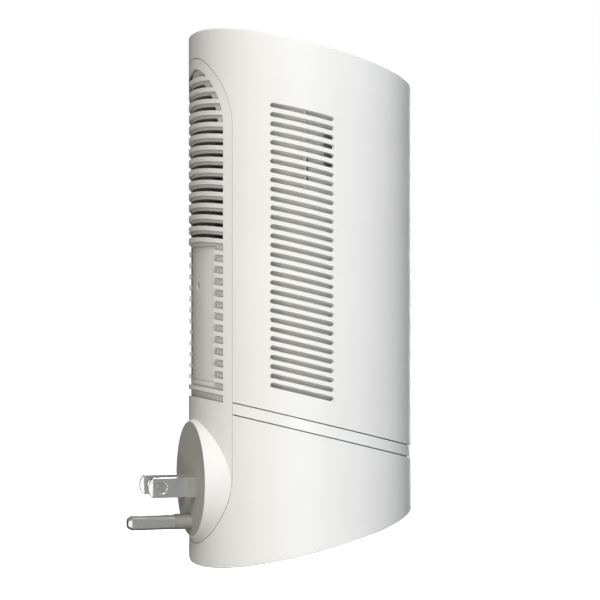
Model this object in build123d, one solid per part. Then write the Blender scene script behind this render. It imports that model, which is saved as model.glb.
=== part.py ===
from build123d import *
import os
from math import cos, sin, tan, pi, radians, hypot, copysign

# Plug-in cable modem: a tall oval tube standing off a wall outlet on its own plug.
# Millimetres. +Z is up, the plug faces +Y and the front faces -Y.
# The origin is the centre of the plug's flat face.
# Below, u is the depth measured from the back centre line towards the front,
# and h is the height measured from the middle of the back centre line.

# body
body_width = 80.8
body_depth = 73.0
body_height = 175.2
section_power = 2.11
end_slant = 14.5
vent_slant = 14.0
wall = 2.0
rim_fillet = 0.4
plug_standoff = 1.2
plug_drop = 59.4
back_y = -plug_standoff
mid_z = plug_drop

# light ring between the two shells
ring_top_h = -31.57
ring_bottom_h = -35.39
seam_gap = 0.35
seam_depth = 1.3
tongue_length = 2.2
tongue_play = 0.05

# side vents
slot_count = 31
slot_top_h = 65.0
slot_bottom_h = -23.1
slot_length = 19.6
slot_height = 1.5
slot_centre_u = 25.5

# back panel
panel_half_width = 24.1
panel_arch_h = 54.9
panel_foot_h = -56.4
panel_gap = 0.2
panel_depth = 2.8
panel_flange = 2.0
window_half_width = 20.35
groove_depth = 1.04
rib_top_h = 61.16
rib_pitch = 3.737
rib_height = 1.41
first_rib = -3
first_stub = 12
last_stub = 23
last_rib = 24
vent_slot_height = 1.45
narrow_vent_half_width = 16.5
last_narrow_vent = 1
pocket_half_width = 15.7
pocket_top_h = 17.0
pocket_bottom_h = -27.0
pocket_depth = 1.48

# plug, to the three-pin 15 A wall outlet pattern
plug_radius = 19.0
plug_flare = 0.62
plug_rim = 0.45
insert_shoulder = 17.2
insert_seat = 0.9
flare_reach = 12.0
insert_depth = 7.0
blade_spacing = 12.7
blade_drop = 2.05
blade_height = 6.35
blade_thickness = 1.5
blade_length = 15.7
blade_tip = 1.6
blade_tip_angle = 14.0
blade_lip = 0.45
blade_hole = 3.1
blade_hole_at = 11.4
sleeve_length = 2.9
sleeve_skin = 0.12
ground_drop = 13.9
ground_radius = 2.45
ground_flat = 1.85
ground_length = 21.1
ground_nose = 1.5
ground_flat_length = 8.5
ground_sleeve_length = 5.6
ground_sleeve_slope = 57.0
pin_fit = 0.05
tail_width = 3.0
blade_tail = 1.0
ground_tail = 1.2

# buttons
reset_h = 4.0
reset_radius = 1.7
reset_recess = 1.0
reset_stem = 1.2
reset_collar = 0.9
collar_thickness = 1.0
button_fit = 0.08
plunger_play = 0.05
switch_width = 6.0
switch_depth = 3.5
plunger_radius = 1.4
guide_end_u = 8.0
guide_top_h = -70.0
pair_x = -22.0
pair_u = 43.5
pair_radius = 3.5
pair_stand = 0.7
pair_stem = 1.5
pair_switch_h = -66.4
pair_switch_depth = 7.8
pair_switch_height = 3.6

# boards and what is on them
board_thickness = 1.6
sink_width = 50.0
sink_base = 2.5
sink_post_x = 22.0
sink_post_hs = (14.5, 56.5)
sink_post_radius = 2.6
fin_pitch = 4.8
fin_thickness = 1.3
main_u = 37.0
main_width = 60.0
main_bottom_h = -64.0
main_top_h = 64.0
power_u = 13.0
power_width = 44.0
power_bottom_h = -76.0
power_top_h = -40.0
board_post_x = 18.5
board_post_hs = (-45.0, -71.0)
board_post_radius = 2.6
screw_pilot = 1.0
frame_inset = 3.0
frame_wall = 1.2
frame_top_h = 80.0
frame_bottom_h = -27.0
frame_back_opening = 54.0
frame_pad_gap = 0.1
frame_bead = 0.75
rail_x = 33.0
jack_x = -5.0
jack_width = 16.0
jack_depth = 13.4
jack_height = 18.5
jack_floor = 2.6
jack_mouth_h = -74.0
coax_x = 16.0
coax_u = 47.0
coax_radius = 4.76
coax_relief = 4.6
coax_wall = 1.1
coax_tip_h = -81.5
coax_seat_h = -74.3
coax_washer_thickness = 0.5
coax_nut_thickness = 2.2
coax_nut_across = 11.0
coax_seat_radius = 8.0

# screws, all the same pan head
screw_head = 2.2
screw_head_height = 1.6
screw_cross = 2.4
screw_cross_width = 0.5
screw_shank = 0.97

# board components: width across, depth off the board, height up the board
can_corner = 1.0
processor_can_size = (32.0, 2.5, 32.0)
radio_can_size = (36.0, 3.0, 38.0)
tuner_can_size = (22.0, 4.0, 26.0)
rear_pad_size = (26.0, 1.0, 26.0)
front_pad_size = (30.0, 1.0, 30.0)
memory_size = (9.0, 1.0, 13.0)
inductor_size = (6.0, 3.0, 6.0)
choke_size = (11.0, 10.0, 9.0)
rectifier_size = (4.0, 2.4, 5.0)
transformer_size = (16.0, 15.0, 16.0)
transformer_x = 11.5
fuse_x = -7.0
fuse_radius = 2.2
fuse_length = 12.0
fuse_clip_size = (2.0, 3.0, 4.0)
led_board_u = 65.5
led_board_size = (36.0, 1.0, 8.0)
led_size = (2.8, 0.9, 2.0)
side_antenna_size = (0.8, 9.0, 26.0)
front_antenna_size = (26.0, 0.8, 16.0)
jack_cavity_size = (12.0, 8.2, 15.5)
jack_latch_size = (6.4, 1.7, 15.5)
contact_pitch = 1.02
contact_size = (0.45, 0.5, 12.4)
coax_body_size = (13.0, 14.0, 12.0)

board_front_u = main_u + board_thickness
power_front_u = power_u + board_thickness
tail_length = power_front_u + plug_standoff - insert_depth

LOW = (Align.CENTER, Align.CENTER, Align.MIN)
HIGH = (Align.CENTER, Align.CENTER, Align.MAX)
FRONTWARD = (Align.CENTER, Align.MAX, Align.CENTER)
reach = 300.0


def at(x, u, h):
    return Pos(x, back_y - u, mid_z + h)


def oval_point(angle, inset):
    a, b = body_depth / 2, body_width / 2
    s, c = sin(angle), cos(angle)
    x = b * copysign(abs(s) ** (2 / section_power), s)
    v = a * copysign(abs(c) ** (2 / section_power), c)
    nx = copysign(abs(x / b) ** (section_power - 1) / b, x)
    nv = copysign(abs(v / a) ** (section_power - 1) / a, v)
    size = hypot(nx, nv)
    return x - inset * nx / size, back_y - a - v + inset * nv / size


def oval_prism(inset, low=-reach / 2, high=reach / 2):
    count = 36
    points = [oval_point(2 * pi * i / count, inset) for i in range(count)]
    face = make_face(Spline(*points, periodic=True))
    return Pos(0, 0, mid_z + low) * extrude(face, high - low)


def above(h, slant):
    return Pos(0, back_y, mid_z + h) * Rot(slant, 0, 0) * Box(reach, reach, reach, align=LOW)


def under(h, slant):
    return Pos(0, back_y, mid_z + h) * Rot(slant, 0, 0) * Box(reach, reach, reach, align=HIGH)


def band(h_low, h_high, slant):
    centre = Pos(0, back_y, mid_z + h_low) * Rot(slant, 0, 0)
    return centre * Box(reach, reach, (h_high - h_low) * cos(radians(slant)), align=LOW)


def stadium(half_width, top_h, bottom_h, u_low, u_high):
    # an upright stadium, pushed through the back from depth u_low to u_high
    low = mid_z + bottom_h
    high = mid_z + top_h
    outline = Rectangle(2 * half_width, high - low).moved(Pos(0, (high + low) / 2))
    outline += Circle(half_width).moved(Pos(0, high))
    outline += Circle(half_width).moved(Pos(0, low))
    plane = Plane(origin=(0, back_y - u_low, 0), x_dir=(1, 0, 0), z_dir=(0, -1, 0))
    return extrude(plane * outline, u_high - u_low)


def rod(x, h, radius, u_low, u_high):
    # a round rod running front to back
    return Pos(x, back_y - u_low, mid_z + h) * Rot(90, 0, 0) * Cylinder(radius, u_high - u_low, align=LOW)


def post(x, u, radius, h_low, h_high):
    return at(x, u, h_low) * Cylinder(radius, h_high - h_low, align=LOW)


def block(x, u_low, h_low, width, depth, height):
    box = Box(width, depth, height, align=(Align.CENTER, Align.MAX, Align.MIN))
    return at(x, u_low, h_low) * box


def largest(shape):
    return max(shape.solids(), key=lambda solid: solid.volume)


# ---- housing ----

def panel_opening():
    return stadium(panel_half_width, panel_arch_h, panel_foot_h, -5, 20)


def side_slots():
    pitch = (slot_top_h - slot_bottom_h) / (slot_count - 1)
    profile = Rot(0, 0, 90) * SlotOverall(slot_length, slot_height)
    drop = slot_centre_u * tan(radians(vent_slant))
    cutters = []
    for side in (-1, 1):
        for i in range(slot_count):
            h = slot_top_h - pitch * i - drop
            plane = Plane(origin=(0, back_y - slot_centre_u, mid_z + h), x_dir=(0, 0, 1), z_dir=(side, 0, 0))
            turned = plane * Rot(0, 0, side * vent_slant) * profile
            cutters.append(Pos(side * 30, 0, 0) * extrude(turned, 20))
    return cutters


def lap(h, going_up, inset_low, inset_high, length):
    # the thin lip along a seam, on the inner half of the wall
    low, high = (h, h + length) if going_up else (h - length, h)
    return (oval_prism(inset_low) - oval_prism(inset_high)) & band(low, high, vent_slant)


def upper_shell():
    edge = ring_top_h + seam_gap / 2
    outer = oval_prism(0) & under(body_height / 2, end_slant) & above(edge, vent_slant)
    top_rim = outer.faces().sort_by(Axis.Z)[-1].edges()
    outer = fillet(top_rim, rim_fillet)
    room = oval_prism(wall) & under(body_height / 2 - wall / cos(radians(end_slant)), end_slant)
    shell = outer - room - panel_opening()
    shell -= lap(edge - 0.01, True, seam_depth, wall + 0.2, tongue_length + 0.3)
    return largest(shell - side_slots())


def light_ring():
    high = ring_top_h - seam_gap / 2
    low = ring_bottom_h + seam_gap / 2
    ring = (oval_prism(0) - oval_prism(wall)) & band(low, high, vent_slant)
    tongue = seam_depth + tongue_play, wall - tongue_play
    ring += lap(low - seam_gap - tongue_length, True, *tongue,
                high - low + 2 * (seam_gap + tongue_length))
    return largest(ring - panel_opening())


def floor_vents():
    cutters = []
    for i in range(6):
        u = 57.5 + 2.0 * i
        half = 16.0 - 1.6 * i
        slot = Pos(0, back_y - u, mid_z - 100) * extrude(SlotOverall(2 * half, 1.1), 60)
        cutters.append(slot)
    return cutters


def lower_shell():
    edge = ring_bottom_h - seam_gap / 2
    outer = oval_prism(0) & above(-body_height / 2, -end_slant) & under(edge, vent_slant)
    bottom_rim = outer.faces().sort_by(Axis.Z)[0].edges()
    outer = fillet(bottom_rim, rim_fillet)
    floor_h = -body_height / 2 + (wall + 0.2) / cos(radians(end_slant))
    room = oval_prism(wall) & above(floor_h, -end_slant)
    shell = outer - room
    # a level seat for the coax nut, and a guide tube for the pairing button
    seat_radius = coax_seat_radius + 1.5
    shell += post(coax_x, coax_u, seat_radius, coax_seat_h - 2.0, coax_seat_h + 2.2) & oval_prism(0)
    shell += post(pair_x, pair_u, pair_radius + 1.3, -78.0, guide_top_h) & above(floor_h - 1, -end_slant)
    shell -= post(coax_x, coax_u, coax_seat_radius, -100, coax_seat_h)
    shell -= post(coax_x, coax_u, coax_radius + 0.15, -100, 0)
    shell -= post(pair_x, pair_u, pair_radius + button_fit, -100, 0)
    shell -= block(jack_x, main_u + board_thickness - 0.1, -100, jack_width + 0.3, jack_depth + 0.4, 60)
    shell -= panel_opening()
    shell -= lap(edge + 0.01, False, seam_depth, wall + 0.2, tongue_length + 0.3)
    return largest(shell - floor_vents())


# ---- back panel ----

def window_region():
    shape = stadium(window_half_width, panel_arch_h + 0.1, -60, -5, 20)
    low = rib_top_h - rib_pitch * (last_rib + 1)
    return shape & above(low, vent_slant)


def rib_bands():
    bands = []
    for i in list(range(first_rib, first_stub)) + [last_rib]:
        high = rib_top_h - rib_pitch * i
        bands.append(band(high - rib_height, high, vent_slant))
    middle = block(0, -10, -100, 2 * (pocket_half_width - 0.3), 40, 200)
    for i in range(first_stub, last_stub + 1):
        high = rib_top_h - rib_pitch * i
        bands.append(band(high - rib_height, high, vent_slant) - middle)
    return bands


def vent_cuts():
    cuts = []
    for i in range(first_rib, first_stub):
        low = rib_top_h - rib_pitch * i
        half = narrow_vent_half_width if i <= last_narrow_vent else window_half_width
        arch = stadium(min(half, window_half_width - 0.01), panel_arch_h, -60, -5, 20)
        if i <= last_narrow_vent:
            arch = arch & stadium(window_half_width - 0.8, panel_arch_h, -60, -5, 20)
        cuts.append(band(low, low + vent_slot_height, vent_slant) & arch)
    return cuts


def panel_posts():
    return [(side * board_post_x, h) for side in (-1, 1) for h in board_post_hs]


def back_panel():
    stadium_body = stadium(panel_half_width - panel_gap, panel_arch_h, panel_foot_h, -5, 20)
    skin = (oval_prism(0) - oval_prism(panel_depth)) & stadium_body
    flange_body = stadium(panel_half_width + panel_flange, panel_arch_h, panel_foot_h, -5, 20)
    flange = (oval_prism(wall + 0.12) - oval_prism(panel_depth)) & flange_body
    recess = (window_region() - oval_prism(groove_depth)) - rib_bands()
    panel = skin + flange - recess - vent_cuts()
    pocket = block(0, -10, pocket_bottom_h, 2 * pocket_half_width, 40, pocket_top_h - pocket_bottom_h)
    pocket = fillet(pocket.edges().filter_by(Axis.Y), 1.2)
    panel -= (pocket - oval_prism(pocket_depth)) & stadium_body
    # the plug's flared boss, with a seat for the insert that holds the blades
    flare = Rot(90, 0, 0) * Cone(plug_radius, plug_radius + plug_flare * flare_reach, flare_reach, align=LOW)
    panel += (flare - oval_prism(panel_depth)) & stadium_body
    panel -= rod(0, -plug_drop, plug_radius - plug_rim, -plug_standoff - 1, insert_seat)
    panel -= rod(0, -plug_drop, insert_shoulder + pin_fit, -plug_standoff - 1, 20)
    # posts for the power board, and the reset plunger's guide
    for x, h in panel_posts():
        panel += rod(x, h, board_post_radius, 1, power_u) & oval_prism(wall + 0.12)
        panel -= rod(x, h, screw_pilot, power_u - 5, power_u + 1)
    panel += rod(0, reset_h, 3.2, pocket_depth + 0.5, guide_end_u)
    panel -= rod(0, reset_h, reset_radius + button_fit, -5, 20)
    return largest(panel)


# ---- plug ----

def blade_sides():
    return (-blade_spacing / 2, blade_spacing / 2)


def plug_insert():
    # a shouldered disc, so the blades can't be pushed through into the case
    disc = rod(0, -plug_drop, plug_radius - plug_rim - pin_fit, -plug_standoff, insert_seat)
    disc += rod(0, -plug_drop, insert_shoulder, -plug_standoff, insert_depth)
    for x in blade_sides():
        width = blade_thickness + 2 * (sleeve_skin + pin_fit)
        height = blade_height + 2 * (sleeve_skin + pin_fit)
        disc -= Pos(x, 0, -blade_drop) * Box(width, 40, height)
    disc -= Pos(0, 0, -ground_drop) * Rot(90, 0, 0) * Cylinder(ground_radius + sleeve_skin + pin_fit, 40)
    return disc


def blade(x):
    # flat tongue with an arched, thinned tip, and a narrow tail through the power board
    side = Plane(origin=(x - blade_thickness / 2, 0, -blade_drop), x_dir=(0, 1, 0), z_dir=(1, 0, 0))
    straight = blade_length - blade_tip
    half = blade_height / 2
    arc_mid = (blade_length, 0)
    with BuildSketch(side) as outline:
        with BuildLine():
            Polyline((straight, half), (-insert_depth, half), (-insert_depth, -half), (straight, -half))
            ThreePointArc((straight, -half), arc_mid, (straight, half))
        make_face()
    body = extrude(outline.sketch, blade_thickness)
    for sign in (-1, 1):
        corner = Pos(x + sign * blade_thickness / 2, straight, -blade_drop)
        outside = Align.MIN if sign > 0 else Align.MAX
        wedge = Box(4, 8, 20, align=(outside, Align.MIN, Align.CENTER))
        body -= corner * Rot(0, 0, sign * blade_tip_angle) * wedge
    hole = Pos(x, blade_hole_at, -blade_drop) * Rot(0, 90, 0)
    body -= hole * Cylinder(blade_hole / 2, 10)
    for sign in (-1, 1):
        lip = Pos(x + sign * blade_thickness / 2, blade_hole_at, -blade_drop) * Rot(0, sign * 90, 0)
        countersink = Cone(blade_hole / 2, blade_hole / 2 + blade_lip, blade_lip, align=LOW)
        body -= lip * Pos(0, 0, -blade_lip) * countersink
    tail = Box(blade_tail, tail_length, tail_width, align=FRONTWARD)
    return body + Pos(x, -insert_depth, -blade_drop) * tail


def blade_sleeve(x):
    width = blade_thickness + 2 * sleeve_skin
    height = blade_height + 2 * sleeve_skin
    sleeve = Box(width, sleeve_length + insert_depth, height, align=FRONTWARD)
    sleeve = Pos(x, sleeve_length, -blade_drop) * sleeve
    return sleeve - Pos(x, 0, -blade_drop) * Box(blade_thickness, 60, blade_height)


def ground_pin():
    nose = Pos(0, ground_length, -ground_drop) * Rot(90, 0, 0)
    pin = nose * Cylinder(ground_radius, ground_length + insert_depth, align=LOW)
    pin = chamfer(pin.edges().sort_by(Axis.Y)[-1], ground_nose, ground_nose * 0.6)
    for sign in (-1, 1):
        beside = Pos(sign * (ground_flat + 5), ground_length - ground_flat_length, -ground_drop)
        pin -= beside * Box(10, 18, 20)
    tail = Box(ground_tail, tail_length, tail_width, align=FRONTWARD)
    return pin + Pos(0, -insert_depth, -ground_drop) * tail


def ground_sleeve():
    # cut on a slope, so it reaches further out over the top of the pin
    outer = Pos(0, ground_sleeve_length, -ground_drop) * Rot(90, 0, 0)
    sleeve = outer * Cylinder(ground_radius + sleeve_skin, ground_sleeve_length + insert_depth, align=LOW)
    sleeve -= outer * Cylinder(ground_radius, 60)
    slope = Pos(0, ground_sleeve_length, -ground_drop + ground_radius) * Rot(-ground_sleeve_slope, 0, 0)
    return sleeve - slope * Box(20, 20, 20, align=LOW)


# ---- buttons, each with the plunger of the switch it presses ----

def reset_switch_u():
    return main_u - switch_depth - 1.3


def reset_button():
    face = pocket_depth + reset_recess
    collar = guide_end_u + plunger_play
    button = rod(0, reset_h, reset_radius, face, collar)
    button += rod(0, reset_h, reset_radius + reset_collar, collar, guide_end_u + collar_thickness)
    return button + rod(0, reset_h, reset_stem, guide_end_u + collar_thickness, reset_switch_u())


def reset_plunger():
    return rod(0, reset_h, plunger_radius, reset_switch_u(), reset_switch_u() + 2.0)


def reset_switch():
    back = main_u - switch_depth
    body = block(0, back, reset_h - switch_width / 2, switch_width, switch_depth, switch_width)
    return body - rod(0, reset_h, plunger_radius + button_fit, back - 1.5, main_u - 2.1)


def pair_button():
    # the cap's lower face follows the slant of the floor and stands slightly proud
    collar = guide_top_h + plunger_play
    cap = post(pair_x, pair_u, pair_radius, -85, collar)
    cap &= above(-body_height / 2 - pair_stand, -end_slant)
    cap += post(pair_x, pair_u, pair_radius + 1.0, collar, guide_top_h + collar_thickness)
    return cap + post(pair_x, pair_u, pair_stem, guide_top_h + collar_thickness, pair_switch_h - 0.8)


def pair_plunger():
    return post(pair_x, pair_u, plunger_radius, pair_switch_h - 0.8, pair_switch_h + 1.0)


def pair_switch():
    body = block(pair_x, board_front_u, pair_switch_h, switch_width, pair_switch_depth, pair_switch_height)
    return body - post(pair_x, pair_u, plunger_radius + button_fit, pair_switch_h - 1, pair_switch_h + 1.8)


# ---- inner frame ----

def frame_rail(side):
    rail = block(side * rail_x, main_u - 2.2, main_bottom_h, 9, 6.0, main_top_h - main_bottom_h)
    board = block(side * 28, main_u - 0.05, main_bottom_h - 1, 4.4, board_thickness + 0.1, 200)
    return (rail & oval_prism(frame_inset + 0.4)) - board


def frame_window(side):
    return block(side * 36, 32.7, 40, 11.0, 5.8, 13)


def inner_frame():
    length = under(frame_top_h, end_slant) & above(frame_bottom_h, vent_slant)
    wall_ring = oval_prism(frame_inset) - oval_prism(frame_inset + frame_wall)
    frame = (wall_ring & length) - block(0, -10, -100, frame_back_opening, 40, 300)
    pad_skin = oval_prism(wall + frame_pad_gap) - oval_prism(frame_inset + 0.3)
    bead_skin = oval_prism(frame_inset - frame_bead) - oval_prism(frame_inset + 0.3)
    for side in (-1, 1):
        frame += frame_rail(side)
        frame += bead_skin & block(side * 38, 26.2, 34, 8, 0.7, 34)
        for h in (48, -30):
            frame += pad_skin & block(side * 38, 44, h, 10, 4, 8)
        frame -= frame_window(side)
        frame -= block(side * 38, 21.0, 56, 8, 0.4, 12)
        frame -= block(side * 38, 27.4, 36, 8, 0.4, 9)
        # arm and leg that hold the lamp board, and a stand-off for the front antenna
        frame += block(side * 14, 63.5, -43, 4, 3.4, 4)
        frame += block(side * 14, 63.5, -56, 4, 2.0, 14)
        frame += block(side * 9, 65.8, 40, 3, 2.6, 6) & oval_prism(frame_inset + 0.2)
    for h in (30, -36):
        frame += pad_skin & block(0, 69, h, 8, 5, 8)
    return largest(frame)


# ---- main board ----

def main_board():
    board = block(0, main_u, main_bottom_h, main_width, board_thickness, main_top_h - main_bottom_h)
    for x, h in sink_posts():
        board -= rod(x, h, 1.6, main_u - 1, main_u + 3)
    return board


def sink_posts():
    return [(side * sink_post_x, h) for side in (-1, 1) for h in sink_post_hs]


def fins(u_low, u_high, h_low, height):
    return [block(x * fin_pitch, u_low, h_low, fin_thickness, u_high - u_low, height) for x in range(-5, 6)]


def rear_heat_sink():
    base = main_u - 6.0
    sink = block(0, base, 10, sink_width, sink_base, 52)
    sink += fins(20, base, 10, 52)
    for x, h in sink_posts():
        sink += rod(x, h, sink_post_radius, base + 2.4, main_u)
        sink -= rod(x, h, screw_pilot, base + 0.5, main_u + 1)
    return sink


def front_heat_sink():
    base = board_front_u + radio_can_size[1] + front_pad_size[1]
    face = base + sink_base
    sink = block(0, base, 10, sink_width, sink_base, 50)
    sink += fins(face, base + 10, 10, 50)
    for x, h in sink_posts():
        sink += rod(x, h, sink_post_radius, board_front_u, base + 0.1)
        sink -= rod(x, h, screw_pilot + 0.3, main_u, base + 20)
        sink -= rod(x, h, sink_post_radius + 0.3, face, base + 20)
    return sink


def sink_screws():
    seat = board_front_u + radio_can_size[1] + front_pad_size[1] + sink_base
    return [screw_into(x, h, seat, seat - main_u + 4.5) for x, h in sink_posts()]


def screw_into(x, h, seat_u, length):
    # pan head towards the front, with a cross recess, shank towards the back
    head = rod(x, h, screw_head, seat_u, seat_u + screw_head_height)
    head = fillet(head.edges().sort_by(Axis.Y)[0], 0.6)
    low = seat_u + screw_head_height / 2
    cross = block(x, low, h - screw_cross_width / 2, screw_cross, 2, screw_cross_width)
    cross += block(x, low, h - screw_cross / 2, screw_cross_width, 2, screw_cross)
    return (head - cross) + rod(x, h, screw_shank, seat_u - length, seat_u)


def standing(x, h, size, front_u):
    # a box on the front of a board, by its middle, lower edge and width, depth and height
    return block(x, front_u, h, *size)


def hanging(x, h, size, back_u):
    # the same on the back of a board
    return block(x, back_u - size[1], h, *size)


def soft_corners(shape, radius):
    return fillet(shape.edges().filter_by(Axis.Y), radius)


def processor_can():
    return soft_corners(hanging(0, 20, processor_can_size, main_u), can_corner)


def radio_can():
    return soft_corners(standing(0, 16, radio_can_size, board_front_u), can_corner)


def tuner_can():
    return soft_corners(standing(coax_x, -48, tuner_can_size, board_front_u), can_corner)


def thermal_pads():
    behind = hanging(0, 23, rear_pad_size, main_u - processor_can_size[1])
    return [behind, standing(0, 20, front_pad_size, board_front_u + radio_can_size[1])]


def memory_chips():
    return [hanging(x, -22, memory_size, main_u) for x in (-12, 12)]


def power_inductors():
    return [soft_corners(hanging(x, -40, inductor_size, main_u), 0.8) for x in (-20, -12, -4)]


# ---- power board ----

def power_board():
    height = power_top_h - power_bottom_h
    board = block(0, power_u, power_bottom_h, power_width, board_thickness, height)
    for x, h in panel_posts():
        board -= rod(x, h, screw_pilot + 0.3, power_u - 1, power_u + 3)
    for x in blade_sides():
        board -= Pos(x, back_y - power_u, -blade_drop) * Box(blade_tail + 0.2, 8, tail_width + 0.2)
    return board - Pos(0, back_y - power_u, -ground_drop) * Box(ground_tail + 0.2, 8, tail_width + 0.2)


def power_screws():
    return [screw_into(x, h, power_front_u, board_thickness + 4.5) for x, h in panel_posts()]


def transformer():
    # an E-core: two yokes and two outer legs round the winding
    low = power_front_u + 0.4
    width, depth, height = transformer_size
    leg = 3.5
    core = block(transformer_x, low, -66, width, depth, 4)
    core += block(transformer_x, low, -54, width, depth, 4)
    for side in (-1, 1):
        core += block(transformer_x + side * (width - leg) / 2, low, -66, leg, depth, height)
    return core + rod(transformer_x, -58, 5.5, power_front_u, power_front_u + 14)


def can_capacitor(x, h, radius, length):
    can = rod(x, h, radius, power_front_u, power_front_u + length)
    return fillet(can.edges().sort_by(Axis.Y)[0], 0.6)


def bulk_capacitor():
    return can_capacitor(-9, -57, 5.0, 18)


def output_capacitor():
    return can_capacitor(8, -71, 3.15, 11)


def input_choke():
    return soft_corners(standing(-8, -75, choke_size, power_front_u), 2.0)


def fuse():
    tube = Pos(fuse_x, back_y - power_front_u - 2.6, mid_z - 44) * Rot(0, 90, 0)
    body = tube * Cylinder(fuse_radius, fuse_length)
    for side in (-1, 1):
        body += standing(fuse_x + side * 5.0, -46, fuse_clip_size, power_front_u)
    return body


def bridge_rectifier():
    return standing(-17.5, -63.5, rectifier_size, power_front_u)


def board_link():
    return block(7, power_front_u, -46.5, 10, main_u - power_front_u, 3)


# ---- lamps and antennas ----

def led_board():
    return standing(0, -56, led_board_size, led_board_u)


def ring_leds():
    return [standing(x, -53, led_size, led_board_u + led_board_size[1]) for x in (-15, -7.5, 0, 7.5, 15)]


def side_antenna(side):
    return standing(side * 31.0, 30, side_antenna_size, main_u + 3.8)


def front_antenna():
    return standing(0, 34, front_antenna_size, 65.0)


# ---- sockets underneath ----

def ethernet_jack():
    width, depth, height = jack_width - 0.6, jack_depth - 0.3, jack_height - 0.3
    body = block(jack_x, board_front_u, jack_mouth_h, width, depth, height)
    body -= block(jack_x, board_front_u + jack_floor, jack_mouth_h - 1, *jack_cavity_size)
    # the channel for the plug's latch
    latch_u = board_front_u + jack_floor + jack_cavity_size[1] - 0.1
    return body - block(jack_x, latch_u, jack_mouth_h - 1, *jack_latch_size)


def jack_shield():
    shield = block(jack_x, board_front_u, jack_mouth_h, jack_width, jack_depth, jack_height)
    inner = block(jack_x, board_front_u - 1, jack_mouth_h - 1, jack_width - 0.6, jack_depth + 0.7,
                  jack_height + 0.7)
    return shield - inner


def jack_contacts():
    low = jack_mouth_h + 2
    return [block(jack_x + contact_pitch * (i - 3.5), board_front_u + jack_floor, low, *contact_size)
            for i in range(8)]


def coax_connector():
    # the thread runs from the tip to the nut, on a barrel that is slimmer inside the case
    nut_low = coax_seat_h - coax_washer_thickness - coax_nut_thickness
    body = standing(coax_x, -66, coax_body_size, board_front_u)
    body += post(coax_x, coax_u, coax_radius, coax_tip_h, nut_low)
    body += post(coax_x, coax_u, coax_relief, nut_low, -65)
    barrel_edge = body.edges().filter_by(GeomType.CIRCLE).sort_by(Axis.Z)[0]
    body = chamfer(barrel_edge, 0.4)
    return body - post(coax_x, coax_u, coax_radius - coax_wall, coax_tip_h - 1, -67)


def coax_insulator():
    plug = post(coax_x, coax_u, coax_radius - coax_wall - 0.02, coax_tip_h + 0.8, -67.02)
    return plug - post(coax_x, coax_u, 0.75, coax_tip_h, -72)


def coax_washer():
    ring = post(coax_x, coax_u, coax_seat_radius - 1.0, coax_seat_h - coax_washer_thickness, coax_seat_h)
    return ring - post(coax_x, coax_u, coax_radius + 0.05, -100, 0)


def coax_nut():
    hexagon = RegularPolygon(coax_nut_across / 2, 6, major_radius=False)
    low = coax_seat_h - coax_washer_thickness - coax_nut_thickness
    nut = Pos(coax_x, back_y - coax_u, mid_z + low) * extrude(hexagon, coax_nut_thickness)
    return nut - post(coax_x, coax_u, coax_radius + 0.04, -100, 0)


# ---- every sub-part under its own name ----

left, right = blade_sides()
pieces = {
    "upper_shell": upper_shell(),
    "light_ring": light_ring(),
    "lower_shell": lower_shell(),
    "back_panel": back_panel(),
    "plug_insert": plug_insert(),
    "neutral_blade": blade(left),
    "line_blade": blade(right),
    "neutral_sleeve": blade_sleeve(left),
    "line_sleeve": blade_sleeve(right),
    "ground_pin": ground_pin(),
    "ground_sleeve": ground_sleeve(),
    "reset_button": reset_button(),
    "reset_plunger": reset_plunger(),
    "reset_switch": reset_switch(),
    "pair_button": pair_button(),
    "pair_plunger": pair_plunger(),
    "pair_switch": pair_switch(),
    "inner_frame": inner_frame(),
    "main_board": main_board(),
    "rear_heat_sink": rear_heat_sink(),
    "front_heat_sink": front_heat_sink(),
    "sink_screws": sink_screws(),
    "processor_can": processor_can(),
    "radio_can": radio_can(),
    "tuner_can": tuner_can(),
    "thermal_pads": thermal_pads(),
    "memory_chips": memory_chips(),
    "power_inductors": power_inductors(),
    "board_link": board_link(),
    "power_board": power_board(),
    "power_screws": power_screws(),
    "transformer": transformer(),
    "bulk_capacitor": bulk_capacitor(),
    "output_capacitor": output_capacitor(),
    "input_choke": input_choke(),
    "fuse": fuse(),
    "bridge_rectifier": bridge_rectifier(),
    "led_board": led_board(),
    "ring_leds": ring_leds(),
    "left_antenna": side_antenna(-1),
    "right_antenna": side_antenna(1),
    "front_antenna": front_antenna(),
    "ethernet_jack": ethernet_jack(),
    "jack_shield": jack_shield(),
    "jack_contacts": jack_contacts(),
    "coax_connector": coax_connector(),
    "coax_insulator": coax_insulator(),
    "coax_washer": coax_washer(),
    "coax_nut": coax_nut(),
}

os.makedirs("parts", exist_ok=True)
for name, shape in pieces.items():
    if isinstance(shape, list):
        shape = Compound([solid for piece in shape for solid in piece.solids()])
    export_step(shape, f"parts/{name}.step")
    print(name, len(shape.solids()), round(shape.volume, 1))
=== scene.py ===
import bmesh
import bpy
from math import cos, pi, radians, sin
from mathutils import Matrix, Vector


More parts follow.
